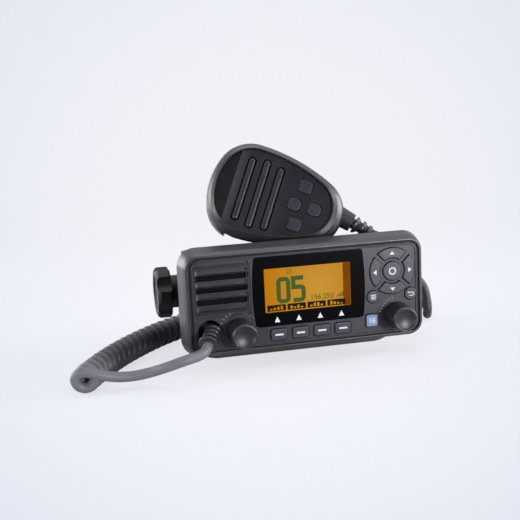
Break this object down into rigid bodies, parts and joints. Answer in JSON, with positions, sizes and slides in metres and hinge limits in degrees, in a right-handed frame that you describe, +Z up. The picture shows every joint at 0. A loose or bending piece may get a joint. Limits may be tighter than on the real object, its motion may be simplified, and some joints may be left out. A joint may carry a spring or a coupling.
{
  "type": "fixed-mount marine radio",
  "caption": "Fixed-mount VHF marine radio on a tilting gimbal bracket, with display, keys and knobs, and a fist microphone on a curly cord lying on top.",
  "frame": {"origin": "centre of the gimbal bracket's underside, on the surface that it stands on", "axes": "+X along the tilt axis to the radio's right seen from its front, +Y from the front panel to the rear, +Z up"},
  "size_m": [0.2747, 0.1547, 0.1403],
  "materials": {
    "bracket_paint": "black powder coat",
    "pad_rubber": "matte",
    "knob_plastic": "fine texture, satin",
    "steel": "satin",
    "chassis_paint": "black powder coat",
    "housing_plastic": "fine moulded texture",
    "lens_plastic": "polished",
    "display": "backlit amber",
    "mesh_fabric": "matte",
    "key_rubber": "satin",
    "key_blue": "backlit blue",
    "board": "solder mask",
    "connector_metal": "nickel plate",
    "connector_plastic": "satin",
    "cord": "satin"
  },
  "bodies": {
    "bracket": {"gimbal_bracket": "bracket_paint", "gimbal_pads": "pad_rubber", "cord_tail": "cord", "cord_coil": "cord", "mic_lead_lower": "cord"},
    "radio": {"chassis": "chassis_paint", "heat_sink": "chassis_paint", "chassis_lid": "chassis_paint", "lid_screws": "steel", "front_housing": "housing_plastic", "front_plate": "housing_plastic", "front_seal": "pad_rubber", "lcd_lens": "lens_plastic", "lcd_module": "display", "speaker_mesh": "mesh_fabric", "speaker_basket": "steel", "speaker_cone": "mesh_fabric", "key_mat": "pad_rubber", "front_board": "board", "main_board": "board", "rf_shield": "steel", "control_pots": "board", "cord_gland": "connector_plastic", "antenna_socket": "connector_metal", "power_gland": "connector_plastic", "speaker_jack": "connector_plastic"},
    "gimbal_knob_left": {"gimbal_knob_left": "knob_plastic", "gimbal_stud_left": "steel"},
    "gimbal_knob_right": {"gimbal_knob_right": "knob_plastic", "gimbal_stud_right": "steel"},
    "volume": {"volume_knob": "knob_plastic", "volume_shaft": "steel"},
    "squelch": {"squelch_knob": "knob_plastic", "squelch_shaft": "steel"},
    "soft_key_1": {"soft_key_1": "key_rubber"},
    "soft_key_2": {"soft_key_2": "key_rubber"},
    "soft_key_3": {"soft_key_3": "key_rubber"},
    "soft_key_4": {"soft_key_4": "key_rubber"},
    "key_up": {"key_up": "key_rubber"},
    "key_down": {"key_down": "key_rubber"},
    "key_left": {"key_left": "key_rubber"},
    "key_right": {"key_right": "key_rubber"},
    "key_ok": {"key_ok": "key_rubber"},
    "key_menu": {"key_menu": "key_rubber"},
    "key_back": {"key_back": "key_rubber"},
    "key_channel": {"key_channel": "key_blue"},
    "microphone": {"mic_front_shell": "housing_plastic", "mic_face_plate": "lens_plastic", "mic_grille": "lens_plastic", "mic_back_shell": "housing_plastic", "mic_capsule": "board", "mic_board": "board", "mic_hang_button": "housing_plastic", "mic_strain_relief": "connector_plastic", "mic_lead_upper": "cord"},
    "mic_key_1": {"mic_key_1": "key_rubber"},
    "mic_key_2": {"mic_key_2": "key_rubber"},
    "mic_key_3": {"mic_key_3": "key_rubber"},
    "mic_key_4": {"mic_key_4": "key_rubber"},
    "mic_ptt": {"mic_ptt": "key_rubber"}
  },
  "joints": [
    {"name": "gimbal_tilt", "type": "hinge", "parent": "bracket", "child": "radio", "pos_m": [0, 0, 0.045], "axis": [1, 0, 0], "range_deg": [-20, 14], "deforming": ["cord_tail", "mic_lead_lower"]},
    {"name": "gimbal_knob_left_turn", "type": "hinge", "parent": "radio", "child": "gimbal_knob_left", "pos_m": [-0.0761, 0, 0.045], "axis": [-1, 0, 0], "range_deg": [0, 360]},
    {"name": "gimbal_knob_right_turn", "type": "hinge", "parent": "radio", "child": "gimbal_knob_right", "pos_m": [0.0761, 0, 0.045], "axis": [1, 0, 0], "range_deg": [0, 360]},
    {"name": "volume_turn", "type": "hinge", "parent": "radio", "child": "volume", "pos_m": [0.0605, -0.0497, 0.0262], "axis": [0, 1, 0], "range_deg": [-195, 105]},
    {"name": "squelch_turn", "type": "hinge", "parent": "radio", "child": "squelch", "pos_m": [-0.045, -0.0497, 0.0259], "axis": [0, 1, 0], "range_deg": [-150, 150]},
    {"name": "soft_key_1_press", "type": "slide", "parent": "radio", "child": "soft_key_1", "axis": [0, 1, 0], "range_m": [0, 0.001], "stiffness_N_per_m": 800},
    {"name": "soft_key_2_press", "type": "slide", "parent": "radio", "child": "soft_key_2", "axis": [0, 1, 0], "range_m": [0, 0.001], "stiffness_N_per_m": 800},
    {"name": "soft_key_3_press", "type": "slide", "parent": "radio", "child": "soft_key_3", "axis": [0, 1, 0], "range_m": [0, 0.001], "stiffness_N_per_m": 800},
    {"name": "soft_key_4_press", "type": "slide", "parent": "radio", "child": "soft_key_4", "axis": [0, 1, 0], "range_m": [0, 0.001], "stiffness_N_per_m": 800},
    {"name": "key_up_press", "type": "slide", "parent": "radio", "child": "key_up", "axis": [0, 1, 0], "range_m": [0, 0.001], "stiffness_N_per_m": 800},
    {"name": "key_down_press", "type": "slide", "parent": "radio", "child": "key_down", "axis": [0, 1, 0], "range_m": [0, 0.001], "stiffness_N_per_m": 800},
    {"name": "key_left_press", "type": "slide", "parent": "radio", "child": "key_left", "axis": [0, 1, 0], "range_m": [0, 0.001], "stiffness_N_per_m": 800},
    {"name": "key_right_press", "type": "slide", "parent": "radio", "child": "key_right", "axis": [0, 1, 0], "range_m": [0, 0.001], "stiffness_N_per_m": 800},
    {"name": "key_ok_press", "type": "slide", "parent": "radio", "child": "key_ok", "axis": [0, 1, 0], "range_m": [0, 0.001], "stiffness_N_per_m": 800},
    {"name": "key_menu_press", "type": "slide", "parent": "radio", "child": "key_menu", "axis": [0, 1, 0], "range_m": [0, 0.001], "stiffness_N_per_m": 800},
    {"name": "key_back_press", "type": "slide", "parent": "radio", "child": "key_back", "axis": [0, 1, 0], "range_m": [0, 0.001], "stiffness_N_per_m": 800},
    {"name": "key_channel_press", "type": "slide", "parent": "radio", "child": "key_channel", "axis": [0, 1, 0], "range_m": [0, 0.001], "stiffness_N_per_m": 800},
    {"name": "mic_lift", "type": "slide", "parent": "radio", "child": "microphone", "axis": [0, 0, 1], "range_m": [0, 0.04], "deforming": ["mic_lead_upper"]},
    {"name": "mic_key_1_press", "type": "slide", "parent": "microphone", "child": "mic_key_1", "axis": [0.129, 0.9182, -0.3746], "range_m": [0, 0.0008], "stiffness_N_per_m": 800},
    {"name": "mic_key_2_press", "type": "slide", "parent": "microphone", "child": "mic_key_2", "axis": [0.129, 0.9182, -0.3746], "range_m": [0, 0.0008], "stiffness_N_per_m": 800},
    {"name": "mic_key_3_press", "type": "slide", "parent": "microphone", "child": "mic_key_3", "axis": [0.129, 0.9182, -0.3746], "range_m": [0, 0.0008], "stiffness_N_per_m": 800},
    {"name": "mic_key_4_press", "type": "slide", "parent": "microphone", "child": "mic_key_4", "axis": [0.129, 0.9182, -0.3746], "range_m": [0, 0.0008], "stiffness_N_per_m": 800},
    {"name": "mic_ptt_press", "type": "slide", "parent": "microphone", "child": "mic_ptt", "axis": [0.4048, 0.2961, 0.8652], "range_m": [0, 0.0015], "stiffness_N_per_m": 900}
  ]
}
